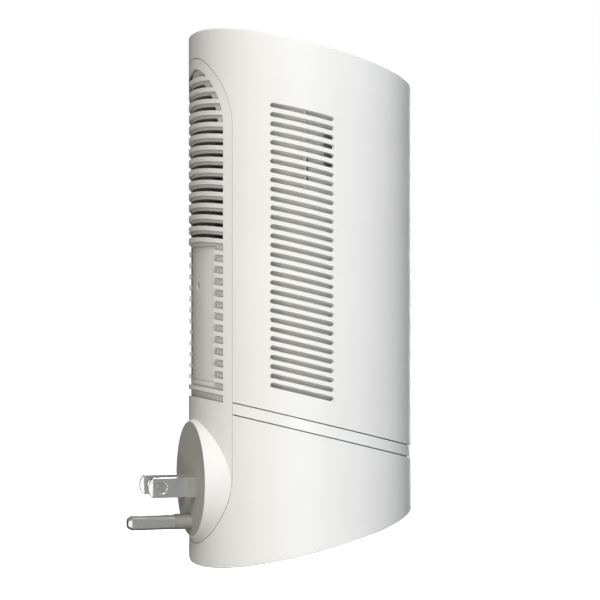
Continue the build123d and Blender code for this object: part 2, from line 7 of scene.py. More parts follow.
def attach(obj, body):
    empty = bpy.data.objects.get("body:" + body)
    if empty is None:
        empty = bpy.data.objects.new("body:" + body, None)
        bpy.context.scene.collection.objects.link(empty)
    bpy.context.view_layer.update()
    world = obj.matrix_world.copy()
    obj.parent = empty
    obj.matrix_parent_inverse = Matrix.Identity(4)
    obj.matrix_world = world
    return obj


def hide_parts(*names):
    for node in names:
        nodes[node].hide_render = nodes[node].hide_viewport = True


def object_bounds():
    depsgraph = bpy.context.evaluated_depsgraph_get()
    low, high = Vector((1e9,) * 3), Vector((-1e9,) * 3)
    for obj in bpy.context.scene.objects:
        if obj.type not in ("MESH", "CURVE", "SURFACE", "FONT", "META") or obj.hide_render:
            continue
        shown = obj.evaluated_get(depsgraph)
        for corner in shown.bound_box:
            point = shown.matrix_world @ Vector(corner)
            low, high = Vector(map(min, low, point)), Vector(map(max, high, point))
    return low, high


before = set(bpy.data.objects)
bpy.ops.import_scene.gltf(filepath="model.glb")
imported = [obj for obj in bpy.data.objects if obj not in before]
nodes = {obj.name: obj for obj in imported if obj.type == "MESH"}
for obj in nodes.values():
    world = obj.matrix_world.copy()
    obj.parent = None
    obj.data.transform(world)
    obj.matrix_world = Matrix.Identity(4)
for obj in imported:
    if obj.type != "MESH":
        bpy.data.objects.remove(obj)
cadBox = [list(corner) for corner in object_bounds()]
scene = bpy.context.scene
mm = 0.001


cameraSetup = {
    "bodyMiddle": (0.0, -0.0377, 0.0594),
    "distance": 0.6262,
    "degreesBehindSide": 17.72,    # the wall plug's side is turned this far towards the lens
    "lens": 112.04,
    "sensor": 36.0,
    "shift": (0.00105, -0.0027),
}


def makeCamera(values):
    angle = radians(values["degreesBehindSide"])
    away = Vector((-cos(angle), sin(angle), 0.0))
    data = bpy.data.cameras.new("camera")
    data.lens = values["lens"]
    data.sensor_width = values["sensor"]
    data.shift_x, data.shift_y = values["shift"]
    data.clip_start = 0.01
    camera = bpy.data.objects.new("camera", data)
    camera.location = Vector(values["bodyMiddle"]) + away * values["distance"]
    camera.rotation_mode = "QUATERNION"
    camera.rotation_quaternion = (-away).to_track_quat("-Z", "Y")
    scene.collection.objects.link(camera)
    scene.camera = camera
    return away


towardsCamera = makeCamera(cameraSetup)
print("camera placed")


def linear(hexText):
    parts = [int(hexText[start:start + 2], 16) / 255 for start in (1, 3, 5)]
    return (*[c / 12.92 if c <= 0.04045 else ((c + 0.055) / 1.055) ** 2.4 for c in parts], 1.0)


def addNode(tree, kind, settings=None, links=None):
    node = tree.nodes.new(kind)
    for name, value in (settings or {}).items():
        if isinstance(name, int) or name in node.inputs:
            node.inputs[name].default_value = value
        else:
            setattr(node, name, value)
    for name, source in (links or {}).items():
        tree.links.new(source, node.inputs[name])
    return node


# turn is degrees round from the lens, lift degrees up; reach and size are metres
studio = {
    "front": {"turn": 0, "lift": 3, "reach": 1.9, "size": 0.5, "watts": 2.2, "colour": "#F4FAFF"},
    "key": {"turn": 0, "lift": 45, "reach": 1.9, "size": 0.9, "watts": 27.5, "colour": "#FDFEFF"},
    "low": {"turn": 0, "lift": -20, "reach": 1.9, "size": 0.6, "watts": 9.9, "colour": "#FFFFF9"},
    "plugSide": {"turn": -58, "lift": 8, "reach": 1.9, "size": 0.9, "watts": 6.2, "colour": "#FFF3E6"},
    "frontSide": {"turn": 60, "lift": 8, "reach": 1.9, "size": 0.9, "watts": 4.3, "colour": "#DCE8FF"},
    "back": {"turn": -95, "lift": 10, "reach": 1.9, "size": 0.9, "watts": 2.0, "colour": "#F5FFFF"},
    "cover": {"turn": 95, "lift": 10, "reach": 1.9, "size": 0.9, "watts": 2.6, "colour": "#FFFCF0"},
    "top": {"turn": 20, "lift": 78, "reach": 1.9, "size": 1.2, "watts": 4.0, "colour": "#F4FAFF"},
    "underneath": {"turn": 0, "lift": -55, "reach": 1.9, "size": 1.2, "watts": 5.5, "colour": "#F6F9FF"},
    "farSide": {"turn": 172, "lift": 6, "reach": 2.4, "size": 1.2, "watts": 53.0, "colour": "#FFFFFF"},
}
# strengths and metres; the sheet's colour is that of matt white paper
room = {"surroundings": 0.02, "floorDrop": 0.3, "floorSize": 60.0, "floorColour": "#E8E8E8",
        "floorRough": 0.95, "floorGlow": 1.15}


def addSoftbox(name, values):
    data = bpy.data.lights.new(name, "AREA")
    data.shape = "SQUARE"
    data.size = values["size"]
    data.energy = values["watts"]
    data.color = linear(values["colour"])[:3]
    level = Matrix.Rotation(radians(values["turn"]), 3, "Z") @ towardsCamera
    lift = radians(values["lift"])
    outward = level * cos(lift) + Vector((0, 0, sin(lift)))
    lamp = bpy.data.objects.new(name, data)
    lamp.location = Vector(cameraSetup["bodyMiddle"]) + outward * values["reach"]
    lamp.rotation_mode = "QUATERNION"
    lamp.rotation_quaternion = outward.to_track_quat("Z", "Y")
    scene.collection.objects.link(lamp)


for lightName, values in studio.items():
    addSoftbox(lightName, values)


def makeSurroundings():
    # a white room to look at, a dimmer one to light by
    world = bpy.data.worlds.new("white room")
    world.use_nodes = True
    tree = world.node_tree
    tree.nodes.clear()
    seen = addNode(tree, "ShaderNodeBackground", {"Color": (1, 1, 1, 1), "Strength": 1.0})
    lit = addNode(tree, "ShaderNodeBackground", {"Color": (1, 1, 1, 1), "Strength": room["surroundings"]})
    ray = addNode(tree, "ShaderNodeLightPath")
    both = addNode(tree, "ShaderNodeMixShader", {}, {
        0: ray.outputs["Is Camera Ray"], 1: lit.outputs[0], 2: seen.outputs[0]})
    addNode(tree, "ShaderNodeOutputWorld", {}, {"Surface": both.outputs[0]})
    scene.world = world


def makeFloor():
    # matt white paper, lit to white
    mesh = bpy.data.meshes.new("floor")
    bm = bmesh.new()
    bmesh.ops.create_grid(bm, x_segments=1, y_segments=1, size=room["floorSize"] / 2)
    bmesh.ops.translate(bm, verts=bm.verts, vec=(0, 0, cadBox[0][2] - room["floorDrop"]))
    bm.to_mesh(mesh)
    bm.free()
    paper = bpy.data.materials.new("matt white paper")
    paper.use_nodes = True
    shader = paper.node_tree.nodes["Principled BSDF"]
    shader.inputs["Base Color"].default_value = linear(room["floorColour"])
    shader.inputs["Roughness"].default_value = room["floorRough"]
    shader.inputs["Emission Color"].default_value = (1, 1, 1, 1)
    shader.inputs["Emission Strength"].default_value = room["floorGlow"]
    mesh.materials.append(paper)
    floor = bpy.data.objects.new("floor", mesh)
    # the sheet is only looked at: it neither shades the soft light from below nor adds to it
    floor.visible_diffuse = False
    floor.visible_glossy = False
    floor.visible_shadow = False
    scene.collection.objects.link(floor)


makeSurroundings()
makeFloor()
scene.view_settings.view_transform = "Standard"
scene.view_settings.look = "None"
print("light and floor set")


# grain is the size of the surface's own texture in millimetres, relief its depth, and
# cloud the size of the slow change in tone; rough is the range from burnished to dull, stretch
# draws the grain out along one way, cells makes it crystalline, and crevice is how many
# millimetres into a corner its shade reaches. Grain finer than about 0.3 is drawn coarser than real
finishes = {
    # fine spark texture from the mould: an even satin with a soft broad highlight
    "shell_white": {"name": "satin moulded white ABS", "colour": "#F1F0ED", "shade": "#ECEBE8",
                    "grain": 0.45, "relief": 0.006, "cloud": 30, "rough": (0.42, 0.52), "ior": 1.5,
                    "crevice": 0.9, "creviceTone": "#7E7F7C"},
    # the same plastic from a duller tool: a deeper, wider painted shade darkens its ribs and pocket
    "panel_white": {"name": "satin moulded white ABS, back panel",
                    "colour": "#F1F0ED", "shade": "#ECEBE8", "grain": 0.4, "relief": 0.006,
                    "cloud": 22, "rough": (0.45, 0.55), "ior": 1.5,
                    "crevice": 2.2, "creviceEnd": 0.85, "creviceTone": "#777873"},
    # milky polycarbonate: a touch smoother and softer than the shells round it
    "ring_diffuser": {"name": "milky polycarbonate light guide", "colour": "#F3F3F1", "shade": "#EEEEEC",
                      "grain": 0.6, "relief": 0.003, "cloud": 16, "rough": (0.32, 0.4), "ior": 1.58,
                      "crevice": 0.9, "creviceTone": "#8A8B88"},
    # glass-filled nylon: flat grey with a slightly sandy face
    "plug_grey": {"name": "glass-filled nylon, mid grey", "colour": "#BBBBB4", "shade": "#B5B5AE",
                  "grain": 0.3, "relief": 0.006, "cloud": 9, "rough": (0.55, 0.72), "ior": 1.53},
    # a rubbery skin moulded over the metal: warm, fine-grained and almost without gloss
    "sleeve_grey": {"name": "overmoulded nylon sleeve, warm grey",
                    "colour": "#93918C", "shade": "#8A8882", "grain": 0.22, "relief": 0.008,
                    "cloud": 5, "rough": (0.48, 0.62), "ior": 1.53},
    # rolled brass strip under dull nickel: cool metal with a drawn grain along the blade, and
    # metallic below 1 so that it stays mid grey in a mostly dark room
    "blade_metal": {"name": "dull nickel plate on drawn brass", "colour": "#C6C6C4", "shade": "#BDBDBB",
                    "grain": 0.25, "relief": 0.001, "cloud": 4, "rough": (0.27, 0.34), "metallic": 0.6,
                    "stretch": (1, 0.08, 1)},
    # polished tool: a small key that catches a sharper light than the case round it
    "button_white": {"name": "polished white ABS key", "colour": "#ECECEA", "shade": "#E4E4E1",
                     "grain": 0.3, "relief": 0.002, "cloud": 3, "rough": (0.22, 0.3), "ior": 1.5},
    # dry nylon with a light moulding grain
    "switch_black": {"name": "black nylon switch body", "colour": "#161616", "shade": "#222222",
                     "grain": 0.3, "relief": 0.01, "cloud": 3, "rough": (0.55, 0.7), "ior": 1.53},
    # rolled sheet, punched and bent: a grey mirror blurred by the mill's grain
    "switch_metal": {"name": "stamped stainless cover", "colour": "#B5B5B2", "shade": "#A3A39F",
                     "grain": 0.2, "relief": 0.003, "cloud": 3, "rough": (0.25, 0.4), "metallic": 1},
    # coarser mould texture than the outside, so that the inner skin reads as a dull grey
    "frame_grey": {"name": "grey moulded polycarbonate frame", "colour": "#E4E4E1", "shade": "#DADAD7",
                   "grain": 0.5, "relief": 0.012, "cloud": 14, "rough": (0.55, 0.7), "ior": 1.58},
    # blasted after casting: pale and sandy; metallic is well below a real metal's, because it is
    # only seen through the slots and a full metal reads black in there
    "sink_aluminium": {"name": "bead-blasted cast aluminium", "colour": "#DCDDDE", "shade": "#CFD0D1",
                       "grain": 0.6, "relief": 0.03, "cloud": 8, "rough": (0.6, 0.75), "metallic": 0.35,
                       "cells": True},
    # thin zinc: a slightly yellow grey with small bright spots
    "screw_steel": {"name": "zinc-plated steel", "colour": "#B8B9B6", "shade": "#A2A49C",
                    "grain": 0.25, "relief": 0.005, "cloud": 2, "rough": (0.25, 0.42), "metallic": 1},
    # drawn sheet that has dulled: faint upright streaks and a wide soft highlight; metallic is
    # lowered for the same reason
    "can_tin": {"name": "dull tinplate", "colour": "#D2D2D0", "shade": "#C4C4C1",
                "grain": 0.4, "relief": 0.003, "cloud": 7, "rough": (0.42, 0.55), "metallic": 0.7,
                "stretch": (1, 1, 0.1)},
    # soft sheet pressed between metal: chalky, with no highlight
    "pad_silicone": {"name": "blue-grey silicone gap pad", "colour": "#7C8794", "shade": "#6B7683",
                     "grain": 0.5, "relief": 0.03, "cloud": 4, "rough": (0.7, 0.85), "ior": 1.41},
    # transfer-moulded epoxy: grey-black with an eggshell face
    "chip_black": {"name": "black moulded epoxy", "colour": "#1B1B1C", "shade": "#26262A",
                   "grain": 0.2, "relief": 0.01, "cloud": 4, "rough": (0.5, 0.66), "ior": 1.55},
    # glass fibres just under the skin give it a dry, uneven black
    "header_black": {"name": "black glass-filled nylon", "colour": "#17171A", "shade": "#232323",
                     "grain": 0.3, "relief": 0.01, "cloud": 4, "rough": (0.5, 0.65), "ior": 1.53},
    # glazed over a matt body: a thin wet gloss on sand colour
    "fuse_glass": {"name": "glazed ceramic fuse body", "colour": "#B49E7C", "shade": "#A08A68",
                   "grain": 0.4, "relief": 0.004, "cloud": 3, "rough": (0.15, 0.28), "ior": 1.5},
    # cast silicone: wet gloss over a yellow body
    "led_lens": {"name": "yellow phosphor under clear silicone", "colour": "#EDE3B4", "shade": "#E2D59B",
                 "grain": 0.2, "relief": 0.004, "cloud": 1.2, "rough": (0.12, 0.22), "ior": 1.41},
    # moulded nylon, a little glossier than the chips
    "jack_black": {"name": "black nylon socket", "colour": "#141415", "shade": "#1F1F20",
                   "grain": 0.3, "relief": 0.008, "cloud": 5, "rough": (0.42, 0.58), "ior": 1.53},
    # plated wire: warm and bright with a narrow highlight
    "contact_gold": {"name": "gold flash on phosphor bronze", "colour": "#E2BD6B", "shade": "#D3A955",
                     "grain": 0.2, "relief": 0.002, "cloud": 2, "rough": (0.16, 0.28), "metallic": 1},
    # turned bar: fine rings from the tool under a bright plate
    "coax_nickel": {"name": "bright nickel plate on turned brass",
                    "colour": "#CFCCC4", "shade": "#BDB9B0", "grain": 0.15, "relief": 0.003,
                    "cloud": 3, "rough": (0.16, 0.28), "metallic": 1,
                    "stretch": (0.2, 0.2, 1)},
    # pressed iron-oxide powder: near black, with a dry crystalline face
    "core_ferrite": {"name": "pressed ferrite", "colour": "#2B2A29", "shade": "#3A3836",
                     "grain": 0.35, "relief": 0.03, "cloud": 3, "rough": (0.5, 0.7), "ior": 1.6,
                     "cells": True},
    # heat-shrunk film, drawn tight: dark with a wet gloss
    "can_sleeve": {"name": "dark blue shrink sleeve", "colour": "#14151F", "shade": "#1C1E2B",
                   "grain": 1.2, "relief": 0.006, "cloud": 6, "rough": (0.14, 0.24), "ior": 1.53},
    # varnished wire: copper colour under a clear amber skin
    "winding": {"name": "enamelled copper wire", "colour": "#B26A35", "shade": "#9C5626",
                "grain": 0.3, "relief": 0.003, "cloud": 2, "rough": (0.2, 0.3), "metallic": 1},
    # etched after stamping: silvery and even
    "can_top": {"name": "etched aluminium can top", "colour": "#C4C5C6", "shade": "#B3B4B6",
                "grain": 0.3, "relief": 0.006, "cloud": 3, "rough": (0.34, 0.46), "metallic": 1},
    # soft and waxy, lit a little way into itself
    "insulator_white": {"name": "waxy polyethylene insulator", "colour": "#EDEBE4", "shade": "#E3E0D6",
                        "grain": 0.5, "relief": 0.004, "cloud": 3, "rough": (0.38, 0.5), "ior": 1.51,
                        "subsurface": 0.2},
}


# how the two noises mix into tone, and how open a corner is where the painted shade starts and stops
blend = {"grainShare": 0.35, "toneFrom": 0.4, "toneTo": 0.95, "roughFrom": 0.3, "roughTo": 0.7,
         "creviceFull": 0.35, "creviceEnd": 0.62, "creviceSamples": 24, "milkDepth": 0.8}


def makeFinish(values):
    material = bpy.data.materials.new(values["name"])
    material.use_nodes = True
    tree = material.node_tree
    tree.nodes.clear()
    place = addNode(tree, "ShaderNodeTexCoord")
    drawn = addNode(tree, "ShaderNodeMapping", {"Scale": values.get("stretch", (1, 1, 1))},
                    {"Vector": place.outputs["Object"]})
    # a noise cell is about one over its scale across
    cloud = addNode(tree, "ShaderNodeTexNoise", {"Scale": 1 / (values["cloud"] * mm), "Detail": 3.0},
                    {"Vector": place.outputs["Object"]})
    if values.get("cells"):
        grain = addNode(tree, "ShaderNodeTexVoronoi", {"Scale": 1 / (values["grain"] * mm)},
                        {"Vector": drawn.outputs[0]})
    else:
        grain = addNode(tree, "ShaderNodeTexNoise",
                        {"Scale": 1 / (values["grain"] * mm), "Detail": 4.0, "Roughness": 0.6},
                        {"Vector": drawn.outputs[0]})
    mottle = addNode(tree, "ShaderNodeMath", {"operation": "MULTIPLY_ADD", 1: blend["grainShare"]},
                     {0: grain.outputs[0], 2: cloud.outputs[0]})
    spread = addNode(tree, "ShaderNodeMapRange", {
        "From Min": blend["toneFrom"], "From Max": blend["toneTo"], "To Min": 0.0, "To Max": 1.0},
        {"Value": mottle.outputs[0]})
    tone = addNode(tree, "ShaderNodeMix", {
        "data_type": "RGBA", 6: linear(values["colour"]), 7: linear(values["shade"])},
        {0: spread.outputs[0]})
    colour = tone.outputs[2]
    if "crevice" in values:
        # the lamps alone leave seams and grooves too pale, so their shade is painted in by how
        # closed in they are; the plastic itself is the same white there
        reachIn = addNode(tree, "ShaderNodeAmbientOcclusion", {
            "samples": blend["creviceSamples"], "only_local": False, "Distance": values["crevice"] * mm})
        depth = addNode(tree, "ShaderNodeMapRange", {
            "From Min": blend["creviceFull"], "From Max": values.get("creviceEnd", blend["creviceEnd"]),
            "To Min": 1.0, "To Max": 0.0}, {"Value": reachIn.outputs["AO"]})
        paintedShade = addNode(tree, "ShaderNodeMix", {"data_type": "RGBA", 7: linear(values["creviceTone"])},
                        {0: depth.outputs[0], 6: colour})
        colour = paintedShade.outputs[2]
    dull = addNode(tree, "ShaderNodeMapRange", {
        "From Min": blend["roughFrom"], "From Max": blend["roughTo"],
        "To Min": values["rough"][0], "To Max": values["rough"][1]},
        {"Value": grain.outputs[0]})
    relief = addNode(tree, "ShaderNodeBump", {"Strength": 1.0, "Distance": values["relief"] * mm},
                     {"Height": grain.outputs[0]})
    shader = addNode(tree, "ShaderNodeBsdfPrincipled",
                     {"Metallic": values.get("metallic", 0)},
                     {"Base Color": colour, "Roughness": dull.outputs[0],
                      "Normal": relief.outputs[0]})
    if "ior" in values:
        shader.inputs["IOR"].default_value = values["ior"]
    if "subsurface" in values:
        shader.inputs["Subsurface Weight"].default_value = values["subsurface"]
        shader.inputs["Subsurface Scale"].default_value = blend["milkDepth"] * mm
    addNode(tree, "ShaderNodeOutputMaterial", {}, {"Surface": shader.outputs[0]})
    return material


surfaces = {slot: makeFinish(values) for slot, values in finishes.items()}

# coated copper: pitch and width are the tracks', in millimetres, drawn about twice as coarse as
# real ones so that they show; pads is the spacing of the tinned pads
boards = {
    # dark green lacquer, lighter where copper lies under it, with dull tinned pads
    "board_green": {"name": "green solder mask over copper tracks", "mask": "#0F4A2A", "track": "#1C6A3C",
                    "pad": "#B9BAB4", "pitch": 1.2, "width": 0.5, "pads": 4.5, "rough": 0.3},
    # white lacquer, so that the lamps' light isn't lost in the board
    "board_white": {"name": "white solder mask over copper tracks", "mask": "#E6E6E1", "track": "#D8D8D1",
                    "pad": "#BFC0BA", "pitch": 1.4, "width": 0.6, "pads": 6.0, "rough": 0.36},
    # thin flexible laminate with one broad strip of bare copper
    "antenna_board": {"name": "thin green laminate with copper strip", "mask": "#1D4B2C",
                      "track": "#B87A45", "pad": "#C8C9C2", "pitch": 5.0, "width": 1.6,
                      "pads": 12.0, "rough": 0.34},
}
# the copper's own height under the lacquer, the glass cloth's weave and how round a pad is
laminate = {"relief": 0.035, "weave": 0.8, "weaveShare": 0.2, "soft": 0.2, "long": 6, "padSize": 0.14,
            "padScatter": 0.4, "roughSpread": 0.12, "coat": 0.3}


def makeBoard(values):
    material = bpy.data.materials.new(values["name"])
    material.use_nodes = True
    tree = material.node_tree
    tree.nodes.clear()
    place = addNode(tree, "ShaderNodeTexCoord")
    upright = addNode(tree, "ShaderNodeMapping", {"Rotation": (pi / 2, 0, 0)},
                      {"Vector": place.outputs["Object"]})
    tracks = addNode(tree, "ShaderNodeTexBrick", {
        "Color1": (0, 0, 0, 1), "Color2": (0, 0, 0, 1), "Mortar": (1, 1, 1, 1), "Scale": 1.0,
        "Mortar Size": values["width"] / 2 * mm, "Mortar Smooth": laminate["soft"],
        "Brick Width": values["pitch"] * laminate["long"] * mm, "Row Height": values["pitch"] * mm},
        {"Vector": upright.outputs[0]})
    pads = addNode(tree, "ShaderNodeTexVoronoi", {
        "Scale": 1 / (values["pads"] * mm), "Randomness": laminate["padScatter"]},
        {"Vector": upright.outputs[0]})
    onPad = addNode(tree, "ShaderNodeMath", {"operation": "LESS_THAN", 1: laminate["padSize"]},
                    {0: pads.outputs["Distance"]})
    weave = addNode(tree, "ShaderNodeTexNoise", {"Scale": 1 / (laminate["weave"] * mm), "Detail": 3.0},
                    {"Vector": place.outputs["Object"]})
    lacquer = addNode(tree, "ShaderNodeMix", {
        "data_type": "RGBA", 6: linear(values["mask"]), 7: linear(values["track"])},
        {0: tracks.outputs["Fac"]})
    metal = addNode(tree, "ShaderNodeMix", {"data_type": "RGBA", 7: linear(values["pad"])},
                    {0: onPad.outputs[0], 6: lacquer.outputs[2]})
    height = addNode(tree, "ShaderNodeMath", {"operation": "MULTIPLY_ADD", 1: laminate["weaveShare"]},
                     {0: weave.outputs[0], 2: tracks.outputs["Fac"]})
    relief = addNode(tree, "ShaderNodeBump", {"Strength": 1.0, "Distance": laminate["relief"] * mm},
                     {"Height": height.outputs[0]})
    gloss = addNode(tree, "ShaderNodeMapRange", {
        "To Min": values["rough"], "To Max": values["rough"] + laminate["roughSpread"]},
        {"Value": weave.outputs[0]})
    shader = addNode(tree, "ShaderNodeBsdfPrincipled", {"IOR": 1.5, "Coat Weight": laminate["coat"]}, {
        "Base Color": metal.outputs[2], "Roughness": gloss.outputs[0], "Metallic": onPad.outputs[0],
        "Normal": relief.outputs[0]})
    addNode(tree, "ShaderNodeOutputMaterial", {}, {"Surface": shader.outputs[0]})
    return material


surfaces.update({slot: makeBoard(values) for slot, values in boards.items()})

for nodeName, cadNode in nodes.items():
    for place in cadNode.material_slots:
        plain = place.material.name.split(".")[0]
        if plain in surfaces:
            place.material = surfaces[plain]
        else:
            print("no finish for", nodeName, place.material.name)
print("finishes on the carried-over parts")


back = -1.2      # the middle of the case's back, in millimetres behind the plug's face
middle = 59.4    # the middle of the case's height above the plug's centre


def spot(x, u, h):
    # across, in from the back and up from mid-height, in millimetres, to a point in metres
    return Vector((x * mm, (back - u) * mm, (middle + h) * mm))


def keepPiece(name, bm, finish, stand="", body="housing", sharp=35):
    bmesh.ops.remove_doubles(bm, verts=bm.verts, dist=0.0005 * mm)
    bmesh.ops.recalc_face_normals(bm, faces=bm.faces)
    for face in bm.faces:
        face.smooth = True
    mesh = bpy.data.meshes.new(name)
    bm.to_mesh(mesh)
    bm.free()
    mesh.set_sharp_from_angle(angle=radians(sharp))
    mesh.materials.append(surfaces[finish])
    piece = bpy.data.objects.new(name, mesh)
    scene.collection.objects.link(piece)
    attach(piece, body)
    if stand:
        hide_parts(stand)


def turned(bm, outline, foot, axis, steps=48):
    # outline holds radius and height pairs, closed and spun once round the axis at foot
    axis = Vector(axis)
    side = axis.orthogonal().normalized()
    points = [bm.verts.new(foot + side * r * mm + axis * z * mm) for r, z in outline]
    ring = [bm.edges.new((a, b)) for a, b in zip(points, points[1:] + points[:1])]
    bmesh.ops.spin(bm, geom=points + ring, cent=foot, axis=axis, dvec=(0, 0, 0), angle=2 * pi,
                   steps=steps, use_merge=True, use_duplicate=False)


def wound(bm, section, foot, axis, pitch, turns, steps=24):
    # section holds radius and height pairs of one closed loop, carried along a screw
    axis = Vector(axis)
    side = axis.orthogonal().normalized()
    points = [bm.verts.new(foot + side * r * mm + axis * z * mm) for r, z in section]
    face = bm.faces.new(points)
    bmesh.ops.spin(bm, geom=[face], cent=foot, axis=axis, dvec=axis * pitch * mm / steps,
                   angle=2 * pi * turns, steps=int(steps * turns), use_merge=False, use_duplicate=False)


def box(bm, centre, size, edge=0.0):
    corners = bmesh.ops.create_cube(bm, size=1.0)["verts"]
    bmesh.ops.scale(bm, verts=corners, vec=[length * mm for length in size])
    bmesh.ops.translate(bm, verts=corners, vec=centre)
    if edge:
        rims = list({rim for corner in corners for rim in corner.link_edges})
        bmesh.ops.bevel(bm, geom=rims, offset=edge * mm, segments=2, profile=0.5, affect="EDGES",
                        material=-1)
    return corners


def sliceOff(bm, point, outward):
    # takes away what lies past the plane and closes the cut
    cut = bmesh.ops.bisect_plane(bm, geom=bm.verts[:] + bm.edges[:] + bm.faces[:], plane_co=point,
                                 plane_no=outward, clear_outer=True)
    rim = [edge for edge in cut["geom_cut"] if isinstance(edge, bmesh.types.BMEdge)]
    bmesh.ops.edgeloop_fill(bm, edges=rim)


def scoreRound(bm, point, outward):
    # a line of edges where the plane meets the piece, with nothing taken away
    bmesh.ops.bisect_plane(bm, geom=bm.verts[:] + bm.edges[:] + bm.faces[:], plane_co=point,
                           plane_no=outward)


def ofKind(found, kind):
    return [part for part in found if isinstance(part, kind)]


axisGap = 0.01    # outlines stop this far short of the axis, which leaves a hair-thin bore along it

coaxSocket = {
    "x": 16.0, "u": 47.0, "tip": -81.5, "nutLow": -77.0, "nutHigh": -74.8, "bodyTop": -65.5,
    "bore": 3.66, "root": 4.36, "crest": 4.75, "lead": 0.2, "shank": 4.6, "step": 0.05,
    "threadPitch": 0.79, "threadHalf": 0.42, "threadStart": 0.15, "threadFlat": 0.06, "threadSink": 0.1,
    "nutAcross": 11.0, "nutBore": 4.8, "nutChamfer": 0.25, "nutFace": 0.1, "nutCorner": 0.5,
    "block": (13, 14, 12), "blockU": 45.6, "blockMiddle": -60, "blockEdge": 0.3,
}


groundPin = {
    "drop": -13.9, "radius": 2.45, "flat": 1.85, "length": 21.1, "flatFrom": 3.6, "root": -7.0,
    "nose": 0.75, "noseLength": 1.5, "noseEdge": (0.15, 0.12), "bevelLength": 1.1, "bevel": 19,
    "tail": (1.2, 8.8, 3.0), "tailEdge": 0.15, "hair": 0.01,
}


def makeGroundPin(values):
    # turned from bar, then both cheeks milled flat and bevelled at the nose
    foot = Vector((0, 0, values["drop"] * mm))
    r, length = values["radius"], values["length"]
    across, along = values["noseEdge"]
    bm = bmesh.new()
    turned(bm, [(axisGap, values["root"]), (r, values["root"]), (r, values["flatFrom"]),
                (r, length - values["noseLength"]), (r - values["nose"], length - along),
                (r - values["nose"] - across, length), (axisGap, length)], foot, (0, 1, 0), steps=64)
    scoreRound(bm, foot + Vector((0, values["flatFrom"] * mm, 0)), (0, 1, 0))    # the flats stop here
    for sign in (-1, 1):
        cheek = Vector((sign, 0, 0))
        scoreRound(bm, cheek * values["flat"] * mm, cheek)
        for vert in bm.verts:
            reach = vert.co.x * sign / mm
            if vert.co.y > (values["flatFrom"] + values["hair"]) * mm and reach > values["flat"]:
                vert.co.x = sign * values["flat"] * mm
        lean = radians(values["bevel"])
        slope = cheek * cos(lean) + Vector((0, sin(lean), 0))
        start = foot + cheek * values["flat"] * mm + Vector((0, (length - values["bevelLength"]) * mm, 0))
        sliceOff(bm, start, slope)
    width, depth, height = values["tail"]
    box(bm, foot + Vector((0, (values["root"] - depth / 2) * mm, 0)), (width, depth, height),
        edge=values["tailEdge"])
    keepPiece("groundPinTurned", bm, "blade_metal", "ground_pin", sharp=25)


def makeCoaxSocket(values):
    foot = spot(values["x"], values["u"], 0)
    tip, low, root = values["tip"], values["nutLow"], values["root"]
    bm = bmesh.new()
    turned(bm, [(values["bore"], tip), (root - values["lead"], tip), (root, tip + values["lead"]),
                (root, low), (values["shank"], low + values["step"]),
                (values["shank"], values["bodyTop"]), (values["bore"], values["bodyTop"])],
           foot, (0, 0, 1))
    half = values["threadPitch"] * values["threadHalf"]
    start = tip + half + values["threadStart"]
    turns = (low - start - half) / values["threadPitch"]
    inner, crest, flat = root - values["threadSink"], values["crest"], values["threadFlat"]
    ridge = [(inner, start - half), (crest, start - flat), (crest, start + flat), (inner, start + half)]
    wound(bm, ridge, foot, (0, 0, 1), values["threadPitch"], turns, steps=36)
    box(bm, spot(values["x"], values["blockU"], values["blockMiddle"]), values["block"],
        edge=values["blockEdge"])
    keepPiece("coaxSocketTurned", bm, "coax_nickel", "coax_connector")


def makeCoaxNut(values):
    # a hexagon bar slice with both faces turned to thirty degrees and a chamfered bore
    low, high = values["nutLow"] - values["tip"], values["nutHigh"] - values["tip"]
    foot = spot(values["x"], values["u"], values["tip"])
    flat = values["nutAcross"] / 2
    corner = flat / cos(pi / 6)
    bore, chamfer = values["nutBore"], values["nutChamfer"]
    face, slope = flat - values["nutFace"], values["nutCorner"]
    bm = bmesh.new()
    turned(bm, [(bore, low + chamfer), (bore + chamfer, low), (face, low), (corner, low + slope),
                (corner, high - slope), (face, high), (bore + chamfer, high), (bore, high - chamfer)],
           foot, (0, 0, 1), steps=72)
    for side in range(6):
        outward = Matrix.Rotation(radians(60 * side + 30), 3, "Z") @ Vector((1, 0, 0))
        sliceOff(bm, foot + outward * flat * mm, outward)
    keepPiece("coaxNutTurned", bm, "coax_nickel", "coax_nut")


jackContacts = {"count": 8, "x": -5.0, "u": 41.2, "low": -72.0, "rise": 3, "pitch": 1.02, "wire": 0.34,
                "bend": 0.8, "run": 9.0, "spring": 6.5, "lean": 155}


def makeContacts(values):
    # each wire climbs the back of the socket, bends over and springs back down into it
    bm = bmesh.new()
    half = values["wire"] / 2
    lean = radians(values["lean"])
    for i in range(values["count"]):
        aside = values["pitch"] * (i - (values["count"] - 1) / 2)
        centre = spot(values["x"] + aside, values["u"] + half, values["low"] + values["rise"])
        corners = [centre + Vector((sx * half * mm, sy * half * mm, 0))
                   for sx, sy in ((-1, -1), (1, -1), (1, 1), (-1, 1))]
        end = bm.faces.new([bm.verts.new(point) for point in corners])
        climb = bmesh.ops.extrude_face_region(bm, geom=[end])["geom"]
        bmesh.ops.translate(bm, verts=ofKind(climb, bmesh.types.BMVert), vec=(0, 0, values["run"] * mm))
        pivot = centre + Vector((0, -values["bend"] * mm, values["run"] * mm))
        bent = bmesh.ops.spin(bm, geom=ofKind(climb, bmesh.types.BMFace), cent=pivot, axis=(1, 0, 0),
                              dvec=(0, 0, 0), angle=lean, steps=8, use_merge=False, use_duplicate=False)
        last = ofKind(bent["geom_last"], bmesh.types.BMFace)
        tail = bmesh.ops.extrude_face_region(bm, geom=last)["geom"]
        bmesh.ops.translate(bm, verts=ofKind(tail, bmesh.types.BMVert),
                            vec=Vector((0, -sin(lean), cos(lean))) * values["spring"] * mm)
    keepPiece("jackContactsBent", bm, "contact_gold", "jack_contacts")


